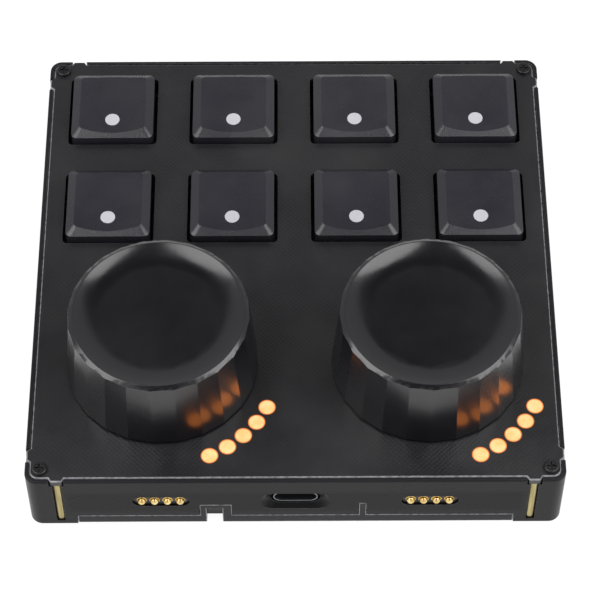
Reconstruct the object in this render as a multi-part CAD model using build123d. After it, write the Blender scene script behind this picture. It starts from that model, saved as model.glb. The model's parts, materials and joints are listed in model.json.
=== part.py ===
from build123d import *

import os
from math import cos, radians, sin, tan

# Square desktop controller module: eight low keys, two endless knobs and an arc of indicator
# lights by each knob. The case is a housing with solid corner blocks, a flush face plate held by
# four screws and a snapped-in base cover. Rod magnets stand in slots beside every corner, and each
# side carries two blocks of spring contacts, so that modules can stand edge to edge. A charging and
# data socket opens in the front wall.
#
# Units are millimetres. +X is right, +Y is back and +Z is up. The origin is the centre of the
# footprint, at the underside of the feet.

# Case outline and walls
case_width = 106.6
case_depth = 106.6
case_corner_radius = 2.5
wall = 1.9
rim_round = 0.45
post_bottom_round = 0.4
corner_block = 9.6
corner_arm = 4.4

# Levels above the ground
post_bottom_z = 0.3
base_bottom_z = 0.7
plate_top_z = 16.8
side_port_z = 9.1
board_over_port = 0.2

# Face plate
plate_thickness = 1.6
plate_inset = 0.98
plate_gap = 0.12
plate_corner_radius = 1.7
plate_edge_bevel = 0.25
tab_reach = 0.78
tab_root = 3.2
tab_end = 2.2

# Base cover, its skirt and the tabs that locate it in the walls
floor_thickness = 1.6
skirt_height = 2.9
seam_gap = 0.1
base_edge_chamfer = 0.25
wide_tab_width = 6.45
wide_tab_height = 4.1
wide_tab_margin = 1.875
slim_tab_width = 1.5
slim_tab_height = 4.6
slim_tab_margin = 6.85
pry_width = 3.15
pry_height = 5.5
pry_rib = 1.0
pry_shift = 0.27
hook_corner_distance = 15.8
hook_width = 4.0
hook_thickness = 1.0
hook_height = 4.4
hook_nose = 0.5
hook_nose_height = 1.2
hook_gap = 0.1

# Feet
foot_radius = 4.0
foot_pocket_depth = 0.5
foot_inset = 19.3
foot_gap = 0.05

# Face plate screws
screw_inset = 3.0
screw_radius = 0.8
screw_length = 7.0
screw_head_radius = 1.5
screw_head_height = 0.8
screw_head_round = 0.3
screw_cross_length = 1.9
screw_cross_width = 0.42
screw_cross_depth = 0.45
screw_gap = 0.02
screw_plate_gap = 0.1

# Rod magnets
magnet_radius = 1.5
magnet_length = 13.5
magnet_corner_distance = 6.3
magnet_depth = 1.8
magnet_floor_z = 1.6
magnet_gap = 0.1
magnet_slot = 1.7

# Main board
board_thickness = 1.6
board_gap = 0.3

# Keys: the openings and the caps
key_columns = 4
key_rows = 2
key_pitch_y = 25.9
key_back_distance = 14.1
key_side_margin = 4.8
cap_width = 17.5
cap_depth = 17.2
cap_gap_side = 0.75
cap_gap_front = 0.4
key_hole_radius = 1.0
cap_corner_radius = 1.3
cap_sink = 1.3
cap_skirt_rise = 1.77
cap_rise = 2.8
cap_side_bevel = 1.65
cap_front_bevel = 2.18
cap_back_bevel = 1.38
cap_top_radius = 0.8
cap_wall = 1.3
cap_roof = 1.9
dish_radius = 51.0
dish_depth_front = 0.5
dish_depth_back = 0.1
key_travel = 3.0
window_radius = 1.53
window_offset = 4.05

# Key switches
switch_body = 13.8
switch_flange = 15.0
switch_flange_thickness = 0.8
switch_floor = 0.6
switch_cavity = 10.7
switch_top_width = 13.2
switch_ceiling_gap = 0.1
switch_skirt_gap = 0.2
switch_top_chamfer = 0.5
switch_roof = 0.85
switch_post_radius = 1.7
switch_post_length = 2.4
switch_post_gap = 0.1
switch_light_width = 4.4
switch_light_depth = 2.2
switch_light_offset = 4.7
stem_width = 10.2
stem_depth = 4.6
stem_gap = 0.2
stem_flange_depth = 6.4
stem_flange_thickness = 0.65
stem_flange_gap = 0.1
prong_spacing = 5.7
prong_width = 1.1
prong_depth = 2.9
prong_length = 2.6
prong_gap = 0.05
spring_radius = 1.4
spring_wire_radius = 0.14
spring_turns = 8
spring_end_gap = 0.05
spring_bore_gap = 0.2
spring_bore_roof = 1.3
spring_pin_radius = 1.0
spring_pin_height = 2.6

# Knobs and their encoders
knob_side_distance = 26.55
knob_front_distance = 28.0
knob_height = 17.3
knob_base_radius = 19.4
knob_taper = 1.5
knob_facets = 24
knob_chamfer_width = 0.9
knob_chamfer_slope = 30.0
knob_edge_flat = 0.1
knob_dish_bend_width = 5.1
knob_dish_depth = 1.2
knob_wall = 2.4
knob_roof = 2.6
knob_hub_radius = 5.2
knob_phase_left = 11.0
knob_phase_right = 0.2
knob_push = 0.5
knob_push_gap = 0.1
shaft_radius = 3.0
shaft_flat = 1.5
shaft_gap = 0.05
shaft_top_gap = 0.3
shaft_flat_length = 9.5
encoder_width = 12.4
encoder_depth = 13.2
bushing_radius = 3.5
bushing_height = 5.4
bushing_plate_gap = 0.1
rotor_radius = 4.6
rotor_thickness = 1.4
rotor_gap = 0.25
tang_width = 3.4
tang_gap = 0.05
tang_foot_gap = 0.3
encoder_floor = 1.0
washer_radius = 5.5
washer_thickness = 0.5
nut_across_flats = 10.0
nut_thickness = 2.0
nut_gap = 0.05

# Indicator lights
light_count = 5
light_radius = 1.62
light_arc_radius = 23.45
light_arc_shift = 0.7
light_first_angle = -65.2
light_step_angle = 9.9
light_gap = 0.04
light_carrier_width = 4.6
light_carrier_thickness = 1.4
light_carrier_overhang = 5.5
lamp_size = 2.8
lamp_height = 0.9
lamp_gap = 0.25
key_lamp_width = 3.2
key_lamp_depth = 2.0
key_lamp_height = 1.0
key_lamp_hole_margin = 0.2

# Socket in the front wall
socket_width = 8.94
socket_height = 3.26
socket_length = 7.3
socket_sheet = 0.3
socket_recess = 1.0
socket_opening_gap = 0.42
socket_bevel = 2.3
socket_bevel_height = 0.9
tongue_width = 6.6
tongue_thickness = 0.7
tongue_length = 4.6
socket_back = 1.6
socket_wing = 1.2
socket_wing_thickness = 0.3
socket_board_gap = 0.15

# Spring contacts in every wall
contact_shift = 0.05
contact_pitch = 2.54
contact_count = 4
window_length = 11.4
window_height = 3.4
window_gap = 0.1
contact_recess = 0.5
contact_shoulder = 0.6
contact_back_wall = 0.65
contact_foot_depth = 1.6
barrel_radius = 1.05
barrel_front = 0.35
barrel_gap = 0.02
barrel_back_wall = 0.4
plunger_radius = 0.85
plunger_gap = 0.03
plunger_reach = 0.55
plunger_length = 2.3
plunger_travel = 0.6
plunger_spring_room = 0.75

# Chips under the board: centre x, centre y, width, depth, height
chips = (
    (0.0, -30.0, 7.0, 7.0, 1.0),
    (14.0, -36.0, 5.2, 4.0, 1.4),
    (-13.0, -38.0, 3.2, 3.0, 1.0),
    (0.0, 0.5, 9.0, 9.0, 1.1),
    (-30.0, 2.0, 6.0, 5.0, 1.0),
    (30.0, 2.0, 6.0, 5.0, 1.0),
)

# What follows from the sizes above
plate_bottom_z = plate_top_z - plate_thickness
board_top_z = side_port_z + board_over_port
board_bottom_z = board_top_z - board_thickness
floor_top_z = base_bottom_z + floor_thickness
seam_z = base_bottom_z + skirt_height
inside_width = case_width - 2 * wall
inside_depth = case_depth - 2 * wall
key_hole_width = cap_width + 2 * cap_gap_side
key_hole_depth = cap_depth + 2 * cap_gap_front
key_pitch_x = (case_width - key_hole_width - 2 * key_side_margin) / (key_columns - 1)
key_back_y = case_depth / 2 - key_back_distance
cap_bottom_z = plate_top_z - cap_sink
cap_skirt_top_z = plate_top_z + cap_skirt_rise
cap_top_z = plate_top_z + cap_rise
cap_ceiling_z = cap_top_z - cap_roof
switch_base_top_z = cap_bottom_z - key_travel - switch_skirt_gap
switch_top_z = cap_ceiling_z - key_travel - switch_ceiling_gap
stem_flange_top_z = switch_top_z - switch_roof - stem_flange_gap
stem_flange_bottom_z = stem_flange_top_z - stem_flange_thickness
knob_top_radius = knob_base_radius - knob_taper
knob_rim_radius = knob_top_radius - knob_chamfer_width
knob_dish_radius = knob_rim_radius - knob_edge_flat
knob_dish_floor_radius = knob_dish_radius - knob_dish_bend_width
knob_bottom_z = plate_top_z + knob_push + knob_push_gap
knob_top_z = knob_bottom_z + knob_height
knob_ceiling_z = knob_top_z - knob_dish_depth - knob_roof
nut_top_z = plate_top_z + washer_thickness + nut_thickness
bushing_top_z = plate_bottom_z + bushing_height
shaft_top_z = knob_ceiling_z - shaft_top_gap
push_space_bottom_z = board_top_z + encoder_floor
tang_bottom_z = push_space_bottom_z + knob_push + knob_push_gap
rotor_bottom_z = tang_bottom_z + tang_foot_gap
rotor_top_z = rotor_bottom_z + rotor_thickness
rotor_space_top_z = rotor_top_z + rotor_gap
shaft_bottom_z = rotor_space_top_z + knob_push + knob_push_gap
spring_bore_radius = spring_radius + spring_wire_radius + spring_bore_gap
spring_bore_top_z = cap_ceiling_z - spring_bore_roof
barrel_end = plunger_length - plunger_reach + plunger_travel + plunger_spring_room + barrel_back_wall
contact_back = barrel_end + contact_back_wall
over = 1.0

key_places = [
    ((across - (key_columns - 1) / 2) * key_pitch_x, key_back_y - row * key_pitch_y)
    for row in range(key_rows)
    for across in range(key_columns)
]
knob_x = case_width / 2 - knob_side_distance
knob_y = knob_front_distance - case_depth / 2
knob_places = {"left": (-knob_x, knob_y), "right": (knob_x, knob_y)}
knob_phases = {"left": knob_phase_left, "right": knob_phase_right}
sides = {
    "front": (Pos(0, -case_depth / 2, 0), case_width),
    "right": (Pos(case_width / 2, 0, 0) * Rot(0, 0, 90), case_depth),
    "back": (Pos(0, case_depth / 2, 0) * Rot(0, 0, 180), case_width),
    "left": (Pos(-case_width / 2, 0, 0) * Rot(0, 0, -90), case_depth),
}


def block(x0, x1, y0, y1, z0, z1):
    """A box between two values on each axis."""
    return Pos((x0 + x1) / 2, (y0 + y1) / 2, (z0 + z1) / 2) * Box(x1 - x0, y1 - y0, z1 - z0)


def slab(x, y, width, depth, z0, z1):
    """A box centred on x and y."""
    return Pos(x, y, (z0 + z1) / 2) * Box(width, depth, z1 - z0)


def column(x, y, z0, z1, radius):
    """An upright cylinder."""
    return Pos(x, y, (z0 + z1) / 2) * Cylinder(radius, z1 - z0)


def prism(width, depth, radius, z0, z1):
    """An upright prism with rounded corners, centred on the origin."""
    return Pos(0, 0, z0) * extrude(RectangleRounded(width, depth, radius), amount=z1 - z0)


def rod(x, z, y0, y1, radius):
    """A cylinder along Y."""
    return Pos(x, (y0 + y1) / 2, z) * Rot(90, 0, 0) * Cylinder(radius, y1 - y0)


def slot_bar(x, z, length, height, y0, y1):
    """A bar along Y whose section is a slot that lies along X."""
    section = Plane(origin=(x, y1, z), x_dir=(1, 0, 0), z_dir=(0, -1, 0)) * SlotOverall(length, height)
    return extrude(section, amount=y1 - y0)


def corner_places(inset):
    """Four points at the corners of the case, moved in by the inset on both axes."""
    x, y = case_width / 2 - inset, case_depth / 2 - inset
    return [(sx * x, sy * y) for sx in (-1, 1) for sy in (-1, 1)]


def save(shape, name):
    """Writes one sub-part."""
    export_step(shape, f"parts/{name}.step")


def together(shapes):
    """One shape that holds separate solids."""
    return Compound(children=[solid for shape in shapes for solid in shape.solids()])


# Face plate


def tab_outline(half_side, along, reach, grow):
    """The small tab over one magnet, seen from above: local x runs along the wall and y inwards."""
    root = tab_root / 2 + grow
    end = tab_end / 2 + grow
    inner = plate_inset + over
    outer = plate_inset - reach
    points = [(-root, inner), (-root, plate_inset), (-end, outer)]
    points += [(end, outer), (root, plate_inset), (root, inner)]
    face = make_face(Polyline(*points, close=True))
    return Pos(along * (half_side - magnet_corner_distance), 0, 0) * face


def plate_outline(grow, reach):
    """The outline of the face plate, grown all round, with tabs of the given reach."""
    smaller = 2 * (plate_inset - grow)
    outline = RectangleRounded(case_width - smaller, case_depth - smaller, plate_corner_radius + grow)
    for place, length in sides.values():
        for along in (-1, 1):
            outline += place * tab_outline(length / 2, along, reach, grow)
    return outline


def light_places(x, y):
    """Centres of the indicator lights beside the knob at x and y."""
    angles = [radians(light_first_angle + k * light_step_angle) for k in range(light_count)]
    middle_y = y - light_arc_shift
    return [(x + light_arc_radius * cos(a), middle_y + light_arc_radius * sin(a)) for a in angles]


def top_plate():
    """The flush face plate with its openings."""
    plate = Pos(0, 0, plate_bottom_z) * extrude(plate_outline(0, tab_reach), amount=plate_thickness)
    plate = chamfer(plate.edges().group_by(Axis.Z)[-1], plate_edge_bevel)
    low, high = plate_bottom_z - over, plate_top_z + over
    for x, y in key_places:
        plate -= Pos(x, y, 0) * prism(key_hole_width, key_hole_depth, key_hole_radius, low, high)
    for x, y in knob_places.values():
        plate -= column(x, y, low, high, bushing_radius + bushing_plate_gap)
        for light_x, light_y in light_places(x, y):
            plate -= column(light_x, light_y, low, high, light_radius + light_gap)
    for x, y in corner_places(screw_inset):
        plate -= column(x, y, low, high, screw_radius + screw_plate_gap)
    return plate


def plate_screw(x, y):
    """A pan head screw with a cross recess."""
    head_top = plate_top_z + screw_head_height
    head = column(x, y, plate_top_z, head_top, screw_head_radius)
    head = fillet(head.edges().group_by(Axis.Z)[-1], screw_head_round)
    screw = head + column(x, y, plate_top_z - screw_length, plate_top_z, screw_radius)
    recess_bottom = head_top - screw_cross_depth
    screw -= slab(x, y, screw_cross_length, screw_cross_width, recess_bottom, head_top + over)
    screw -= slab(x, y, screw_cross_width, screw_cross_length, recess_bottom, head_top + over)
    return screw


# Housing


def contact_place(length):
    """Distance of a contact block's middle from the middle of a side of the given length."""
    return length / 4 + contact_shift


def wide_tab_place(length):
    """Local x of the wide tab, beside the window of the left contact block."""
    return wide_tab_margin + (window_length + wide_tab_width) / 2 - contact_place(length)


def slim_tab_place(length):
    """Local x of the slim tab, on the near side of the right contact block."""
    return contact_place(length) - slim_tab_margin - (window_length + slim_tab_width) / 2


def base_tabs(length, grow, rise):
    """The upright tabs of one skirt: local x runs along the wall and y inwards."""
    tabs = []
    for x, width, height in (
        (wide_tab_place(length), wide_tab_width, wide_tab_height),
        (slim_tab_place(length), slim_tab_width, slim_tab_height),
    ):
        tabs.append(slab(x, wall / 2, width + 2 * grow, wall, seam_z - rise, seam_z + height + grow))
    return tabs


def hook_places(length):
    """Local x of the two hooks of one side."""
    x = length / 2 - hook_corner_distance
    return (-x, x)


def housing():
    """The four walls, with a solid block in every corner."""
    outer = prism(case_width, case_depth, case_corner_radius, post_bottom_z, plate_top_z)
    outer = fillet(outer.edges().group_by(Axis.Z)[-1], rim_round)
    outer = fillet(outer.edges().group_by(Axis.Z)[0], post_bottom_round)
    hollow = slab(0, 0, inside_width, inside_depth, 0, plate_top_z + over)
    for x, y in corner_places(0):
        hollow -= slab(x, y, 2 * corner_block, 2 * corner_block, 0, board_bottom_z)
        hollow -= slab(x, y, 2 * corner_arm, 2 * corner_block, 0, plate_bottom_z)
        hollow -= slab(x, y, 2 * corner_block, 2 * corner_arm, 0, plate_bottom_z)
    body = outer - hollow
    seat = extrude(plate_outline(plate_gap, plate_inset + over), amount=plate_thickness + over)
    body -= Pos(0, 0, plate_bottom_z) * seat
    hole_bottom = plate_top_z - screw_length - screw_gap
    for x, y in corner_places(screw_inset):
        body -= column(x, y, hole_bottom, plate_top_z, screw_radius + screw_gap)
    for place, length in sides.values():
        span = length / 2 - corner_block
        body -= place * block(-span, span, -over, wall + over, 0, seam_z + seam_gap)
        for tab in base_tabs(length, seam_gap, over):
            body -= place * tab
        for x in hook_places(length):
            body -= place * snap_hook(x, hook_gap)
        for along in (-1, 1):
            x = along * (length / 2 - magnet_corner_distance)
            hole = column(x, magnet_depth, magnet_floor_z, plate_top_z, magnet_radius + magnet_gap)
            slot = slab(x, 0, magnet_slot, 2 * magnet_depth, magnet_floor_z, plate_top_z)
            x = along * contact_place(length)
            window = slot_bar(x, side_port_z, window_length, window_height, -over, wall + over)
            for cut in (hole, slot, window):
                body -= place * cut
    return body - socket_opening()


def socket_opening():
    """The bevelled opening for the socket in the front wall."""
    width = socket_width + 2 * socket_opening_gap
    height = socket_height + 2 * socket_opening_gap
    face = -case_depth / 2
    through = slot_bar(0, side_port_z, width, height, face - over, face + wall + over)
    plane = Plane(origin=(0, face, side_port_z), x_dir=(1, 0, 0), z_dir=(0, -1, 0))
    wide = plane * SlotOverall(width + 2 * socket_bevel, height + 2 * socket_bevel_height)
    narrow = plane.offset(-socket_recess) * SlotOverall(width, height)
    return through + loft([wide, narrow])


def corner_magnets():
    """Two rod magnets beside every corner."""
    rods = []
    for place, length in sides.values():
        for along in (-1, 1):
            x = along * (length / 2 - magnet_corner_distance)
            top = magnet_floor_z + magnet_length
            rods.append(place * column(x, magnet_depth, magnet_floor_z, top, magnet_radius))
    return together(rods)


# Base cover and feet


def base_cover():
    """The floor with a low skirt on each side, upright tabs and pockets for the feet."""
    cover = slab(0, 0, case_width, case_depth, base_bottom_z, seam_z)
    cover = chamfer(cover.edges().group_by(Axis.Z)[0], base_edge_chamfer)
    cover -= slab(0, 0, inside_width, inside_depth, floor_top_z, seam_z + over)
    for place, length in sides.values():
        for tab in base_tabs(length, 0, over):
            cover += place * tab
        for x in hook_places(length):
            cover += place * snap_hook(x, 0)
    cut = 2 * (corner_block + seam_gap)
    for x, y in corner_places(0):
        cover -= slab(x, y, cut, cut, 0, seam_z + over)
    for x, y in corner_places(foot_inset):
        cover -= column(x, y, 0, base_bottom_z + foot_pocket_depth, foot_radius + foot_gap)
    place, length = sides["front"]
    x = wide_tab_place(length) - pry_shift
    notch = slab(x, 0, pry_width, 2 * wall, 0, base_bottom_z + pry_height)
    rib_width = pry_width + 2 * pry_rib
    rib_top = base_bottom_z + pry_height + pry_rib
    rib = slab(x, wall + pry_rib / 2, rib_width, pry_rib, base_bottom_z, rib_top)
    return cover - place * notch + place * rib


def snap_hook(x, grow):
    """An upright hook just inside a wall, whose nose catches in the wall. Local y runs inwards."""
    width = hook_width + 2 * grow
    inner = wall + hook_gap
    top = floor_top_z + hook_height + grow
    low = base_bottom_z + floor_thickness / 2
    nose_bottom = top - hook_nose_height - 2 * grow
    tip = wall - hook_nose - grow
    stem = slab(x, inner + hook_thickness / 2, width, hook_thickness, low, top)
    nose = slab(x, (tip + inner) / 2, width, inner - tip, nose_bottom, top)
    return stem + nose


def rubber_feet():
    """Four round feet in their pockets."""
    top = base_bottom_z + foot_pocket_depth
    return together([column(x, y, 0, top, foot_radius) for x, y in corner_places(foot_inset)])


# Main board and what is soldered to it


def main_board():
    """The circuit board, cut away round the corner blocks, the side contacts and the socket."""
    low, high = board_bottom_z - over, board_top_z + over
    board = board_space(board_bottom_z, board_top_z)
    wide = 2 * (corner_block + board_gap)
    near = 2 * (corner_arm + board_gap)
    for x, y in corner_places(0):
        board -= slab(x, y, wide, near, low, high)
        board -= slab(x, y, near, wide, low, high)
    contact_cut_width = window_length + 2 * (contact_shoulder + window_gap)
    contact_cut_depth = 2 * (contact_back + window_gap)
    for place, length in sides.values():
        for along in (-1, 1):
            x = along * contact_place(length)
            board -= place * slab(x, 0, contact_cut_width, contact_cut_depth, low, high)
    socket_cut_width = socket_width + 2 * socket_board_gap
    socket_cut_depth = 2 * (socket_recess + socket_length + socket_board_gap)
    board -= sides["front"][0] * slab(0, 0, socket_cut_width, socket_cut_depth, low, high)
    lamp_hole_width = key_lamp_width - 2 * key_lamp_hole_margin
    lamp_hole_depth = key_lamp_depth - 2 * key_lamp_hole_margin
    for x, y in key_places:
        board -= column(x, y, low, high, switch_post_radius + switch_post_gap)
        board -= slab(x, y - switch_light_offset, lamp_hole_width, lamp_hole_depth, low, high)
    return board


def board_space(z0, z1):
    """The space inside the walls, with a small gap all round."""
    return slab(0, 0, inside_width - 2 * board_gap, inside_depth - 2 * board_gap, z0, z1)


def board_chips():
    """The larger chips under the board."""
    bodies = []
    for x, y, width, depth, height in chips:
        bodies.append(slab(x, y, width, depth, board_bottom_z - height, board_bottom_z))
    return together(bodies)


def board_lamps():
    """The lamps under the keys, on the board's lower face, and under the indicator lights, on top."""
    lamps = []
    low = board_bottom_z - key_lamp_height
    for x, y in key_places:
        lamps.append(slab(x, y - switch_light_offset, key_lamp_width, key_lamp_depth, low, board_bottom_z))
    top = board_top_z + lamp_height
    for place in knob_places.values():
        for x, y in light_places(*place):
            lamps.append(slab(x, y, lamp_size, lamp_size, board_top_z, top))
    return together(lamps)


def light_guide(x, y):
    """Five clear pins on a curved carrier that lies against the underside of the face plate."""
    outer = light_arc_radius + light_carrier_width / 2
    inner = light_arc_radius - light_carrier_width / 2
    low = plate_bottom_z - light_carrier_thickness
    middle_y = y - light_arc_shift
    ring = column(x, middle_y, low, plate_bottom_z, outer) - column(x, middle_y, low, plate_bottom_z, inner)
    first = light_first_angle - light_carrier_overhang
    last = light_first_angle + (light_count - 1) * light_step_angle + light_carrier_overhang
    reach = 2 * outer
    ends = [(reach * cos(radians(a)), reach * sin(radians(a))) for a in (first, last)]
    wedge = extrude(make_face(Polyline((0, 0), *ends, close=True)), amount=light_carrier_thickness)
    guide = ring & (Pos(x, middle_y, low) * wedge) & board_space(low, plate_bottom_z)
    for light_x, light_y in light_places(x, y):
        guide += column(light_x, light_y, board_top_z + lamp_height + lamp_gap, plate_top_z, light_radius)
    return guide


# Keys


def switch_base(x, y):
    """Lower half of one key switch, with its locating post and the pin that guides the spring."""
    flange_z = switch_base_top_z - switch_flange_thickness
    floor_z = board_top_z + switch_floor
    body = square_bar(switch_body, board_top_z, switch_base_top_z)
    body += square_bar(switch_flange, flange_z, switch_base_top_z)
    body -= square_bar(switch_cavity, floor_z, switch_base_top_z + over)
    body -= light_shaft(board_top_z - over, floor_z + over)
    body += column(0, 0, board_top_z - switch_post_length, board_top_z, switch_post_radius)
    body += column(0, 0, board_top_z, floor_z + spring_pin_height, spring_pin_radius)
    return Pos(x, y, 0) * body


def light_shaft(z0, z1):
    """The way for the lamp's light through one switch."""
    return slab(0, -switch_light_offset, switch_light_width, switch_light_depth, z0, z1)


def switch_top(x, y):
    """Upper half of one key switch, with the opening for its stem."""
    body = square_bar(switch_top_width, switch_base_top_z, switch_top_z)
    body = chamfer(body.edges().group_by(Axis.Z)[-1], switch_top_chamfer)
    body -= square_bar(switch_cavity, switch_base_top_z - over, switch_top_z - switch_roof)
    way_width, way_depth = stem_width + 2 * stem_gap, stem_depth + 2 * stem_gap
    body -= slab(0, 0, way_width, way_depth, switch_base_top_z, switch_top_z + over)
    body -= light_shaft(switch_base_top_z, switch_top_z + over)
    return Pos(x, y, 0) * body


def key_stem(x, y):
    """The sliding stem: slots for the cap's prongs, a flange under the roof, a bore for the spring."""
    stem = slab(0, 0, stem_width, stem_depth, stem_flange_bottom_z, cap_ceiling_z)
    stem += slab(0, 0, stem_width, stem_flange_depth, stem_flange_bottom_z, stem_flange_top_z)
    for slot in prongs(prong_gap, over):
        stem -= slot
    stem -= column(0, 0, stem_flange_bottom_z - over, spring_bore_top_z, spring_bore_radius)
    return Pos(x, y, 0) * stem


def prongs(grow, rise):
    """The two prongs under a cap, or the slots for them, about the origin's axis."""
    low, high = cap_ceiling_z - prong_length - grow, cap_ceiling_z + rise
    width, depth = prong_width + 2 * grow, prong_depth + 2 * grow
    return [slab(along * prong_spacing / 2, 0, width, depth, low, high) for along in (-1, 1)]


def key_spring(x, y):
    """The coil spring between the switch floor and the roof of the stem's bore."""
    low = board_top_z + switch_floor + spring_end_gap + spring_wire_radius
    high = spring_bore_top_z - spring_end_gap - spring_wire_radius
    pitch = (high - low) / spring_turns
    path = Helix(pitch=pitch, height=high - low, radius=spring_radius)
    section = Plane(origin=path @ 0, z_dir=path % 0) * Circle(spring_wire_radius)
    return Pos(x, y, low) * sweep(section, path=path, is_frenet=True)


def cap_form():
    """The outer form of a key cap: a straight skirt, bevelled sides and a scooped top."""
    skirt = prism(cap_width, cap_depth, cap_corner_radius, cap_bottom_z, cap_skirt_top_z)
    top_width = cap_width - 2 * cap_side_bevel
    top_depth = cap_depth - cap_front_bevel - cap_back_bevel
    top_shift = (cap_front_bevel - cap_back_bevel) / 2
    foot = Pos(0, 0, cap_skirt_top_z) * RectangleRounded(cap_width, cap_depth, cap_corner_radius)
    crown = Pos(0, top_shift, cap_top_z) * RectangleRounded(top_width, top_depth, cap_top_radius)
    form = skirt + loft([foot, crown])
    front_y = -cap_depth / 2 + cap_front_bevel
    back_y = cap_depth / 2 - cap_back_bevel
    front = Vector(0, front_y, cap_top_z - dish_depth_front + dish_radius)
    back = Vector(0, back_y, cap_top_z - dish_depth_back + dish_radius)
    along = (back - front).normalized()
    length = (back - front).length + 2 * cap_depth
    scoop_plane = Plane(origin=front - along * cap_depth, x_dir=(1, 0, 0), z_dir=along)
    return form - extrude(scoop_plane * Circle(dish_radius), amount=length)


def keycap(x, y):
    """A hollow key cap with two prongs and a round hole for its window."""
    cap = cap_form()
    inner_width, inner_depth = cap_width - 2 * cap_wall, cap_depth - 2 * cap_wall
    cap -= slab(0, 0, inner_width, inner_depth, cap_bottom_z - over, cap_ceiling_z)
    cap -= column(0, -window_offset, cap_ceiling_z - over, cap_top_z + over, window_radius)
    for prong in prongs(0, 0):
        cap += prong
    return Pos(x, y, 0) * cap


def key_window(x, y):
    """The pale window moulded into the hole of a key cap, flush with the scooped top."""
    pane = cap_form() & column(0, -window_offset, cap_ceiling_z, cap_top_z + over, window_radius)
    return Pos(x, y, 0) * pane


# Knobs


def knob(x, y, phase):
    """A hollow faceted knob with a chamfered rim, a dished top and a hub with a flat-sided bore."""
    low_face = Pos(0, 0, knob_bottom_z) * RegularPolygon(knob_base_radius, knob_facets)
    high_face = Pos(0, 0, knob_top_z) * RegularPolygon(knob_top_radius, knob_facets)
    form = loft([low_face, high_face])
    drop = knob_base_radius - knob_rim_radius + over
    rise = drop * tan(radians(knob_chamfer_slope))
    limit = Pos(0, 0, knob_top_z - rise / 2) * Cone(knob_rim_radius + drop, knob_rim_radius, rise)
    limit += column(0, 0, knob_bottom_z, knob_top_z - rise, knob_rim_radius + drop)
    form &= limit
    form -= knob_dish()
    outer = knob_top_radius - knob_wall
    inside = column(0, 0, knob_bottom_z - over, knob_ceiling_z, outer)
    hub = column(0, 0, bushing_top_z + knob_push + knob_push_gap, knob_ceiling_z, knob_hub_radius)
    hub -= shaft_profile(shaft_gap, bushing_top_z, knob_ceiling_z)
    return Pos(x, y, 0) * Rot(0, 0, phase) * (form - inside + hub)


def knob_dish():
    """The hollow in a knob's top: a flat floor that curves up to the rim."""
    run = knob_dish_bend_width
    bend = (run**2 + knob_dish_depth**2) / (2 * knob_dish_depth)
    floor_z = knob_top_z - knob_dish_depth
    middle_x = knob_dish_floor_radius + run / 2
    middle_z = floor_z + bend - (bend**2 - (run / 2) ** 2) ** 0.5
    start, end = (knob_dish_floor_radius, 0, floor_z), (knob_dish_radius, 0, knob_top_z)
    curve = ThreePointArc(start, (middle_x, 0, middle_z), end)
    top = knob_top_z + over
    rest = Polyline(end, (knob_dish_radius, 0, top), (0, 0, top), (0, 0, floor_z), start)
    return revolve(make_face([curve, rest]), axis=Axis.Z)


def shaft_profile(grow, z0, z1):
    """A round shaft that loses one side to a flat near its top."""
    radius = shaft_radius + grow
    bar = column(0, 0, z0, z1, radius)
    flat_z = shaft_top_z - shaft_flat_length
    return bar - block(-radius, radius, radius - shaft_flat, radius + over, flat_z, z1 + over)


def square_bar(width, z0, z1):
    """An upright square bar on the origin's axis."""
    return slab(0, 0, width, width, z0, z1)


def encoder_shaft(x, y, phase):
    """The shaft, with a square tang at its foot that slides through the rotor when the knob is pushed."""
    shaft = shaft_profile(0, shaft_bottom_z, shaft_top_z)
    shaft += square_bar(tang_width, tang_bottom_z, shaft_bottom_z)
    return Pos(x, y, 0) * Rot(0, 0, phase) * shaft


def encoder_rotor(x, y, phase):
    """The contact disc that the shaft's tang turns."""
    disc = column(0, 0, rotor_bottom_z, rotor_top_z, rotor_radius)
    disc -= square_bar(tang_width + 2 * tang_gap, rotor_bottom_z - over, rotor_top_z + over)
    return Pos(x, y, 0) * Rot(0, 0, phase) * disc


def encoder_body(x, y):
    """The encoder's case between the board and the face plate, with its bushing through the plate."""
    body = slab(0, 0, encoder_width, encoder_depth, board_top_z, plate_bottom_z)
    body += column(0, 0, plate_bottom_z, bushing_top_z, bushing_radius)
    body -= column(0, 0, push_space_bottom_z, bushing_top_z + over, shaft_radius + shaft_gap)
    body -= column(0, 0, rotor_bottom_z - rotor_gap, rotor_space_top_z, rotor_radius + rotor_gap)
    return Pos(x, y, 0) * body


def bushing_nuts():
    """A hexagon nut and a washer on each bushing."""
    pieces = []
    nut_bottom_z = plate_top_z + washer_thickness
    for x, y in knob_places.values():
        hexagon = RegularPolygon(nut_across_flats / 2, 6, major_radius=False)
        nut = Pos(x, y, nut_bottom_z) * extrude(hexagon, amount=nut_thickness)
        washer = column(x, y, plate_top_z, nut_bottom_z, washer_radius)
        bore = column(x, y, plate_top_z - over, nut_top_z + over, bushing_radius + nut_gap)
        pieces += [nut - bore, washer - bore]
    return together(pieces)


# Socket


def socket_shell():
    """The metal shell of the socket, with two wings that are soldered to the board."""
    start = -case_depth / 2 + socket_recess
    end = start + socket_length
    shell = slot_bar(0, side_port_z, socket_width, socket_height, start, end)
    shell -= socket_filling(start - over, end + over)
    wing_x = (socket_width + socket_wing - socket_sheet) / 2
    wing_y = end - socket_back - socket_wing / 2
    wing_top = board_top_z + socket_wing_thickness
    for along in (-1, 1):
        wing_width = socket_wing + socket_sheet
        shell += slab(along * wing_x, wing_y, wing_width, socket_wing, board_top_z, wing_top)
    return shell


def socket_filling(y0, y1):
    """A bar that fills the inside of the socket's shell."""
    inner_width, inner_height = socket_width - 2 * socket_sheet, socket_height - 2 * socket_sheet
    return slot_bar(0, side_port_z, inner_width, inner_height, y0, y1)


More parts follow.
